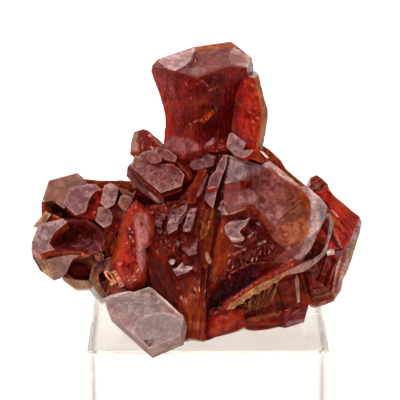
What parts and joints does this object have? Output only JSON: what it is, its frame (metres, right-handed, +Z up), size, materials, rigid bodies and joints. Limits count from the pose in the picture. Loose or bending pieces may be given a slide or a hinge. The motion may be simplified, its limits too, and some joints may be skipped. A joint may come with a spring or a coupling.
{
  "type": "vanadinite on matrix",
  "caption": "Cluster of intergrown hexagonal and hopper vanadinite crystals on a scrap of matrix, fixed on a clear acrylic block.",
  "frame": {"origin": "middle of the acrylic block's underside", "axes": "+Z up, +X to the right as the cluster is displayed, -Y towards the viewer"},
  "size_m": [0.0352, 0.0295, 0.0419],
  "materials": {
    "clear_acrylic": "clear polished acrylic",
    "matrix_rock": "rough dull brown rock",
    "vanadinite_red": "resinous deep red crystal, frosted mauve on the end faces"
  },
  "bodies": {
    "root": {"display_block": "clear_acrylic", "matrix": "matrix_rock", "crystal_cluster": "vanadinite_red"}
  },
  "joints": []
}
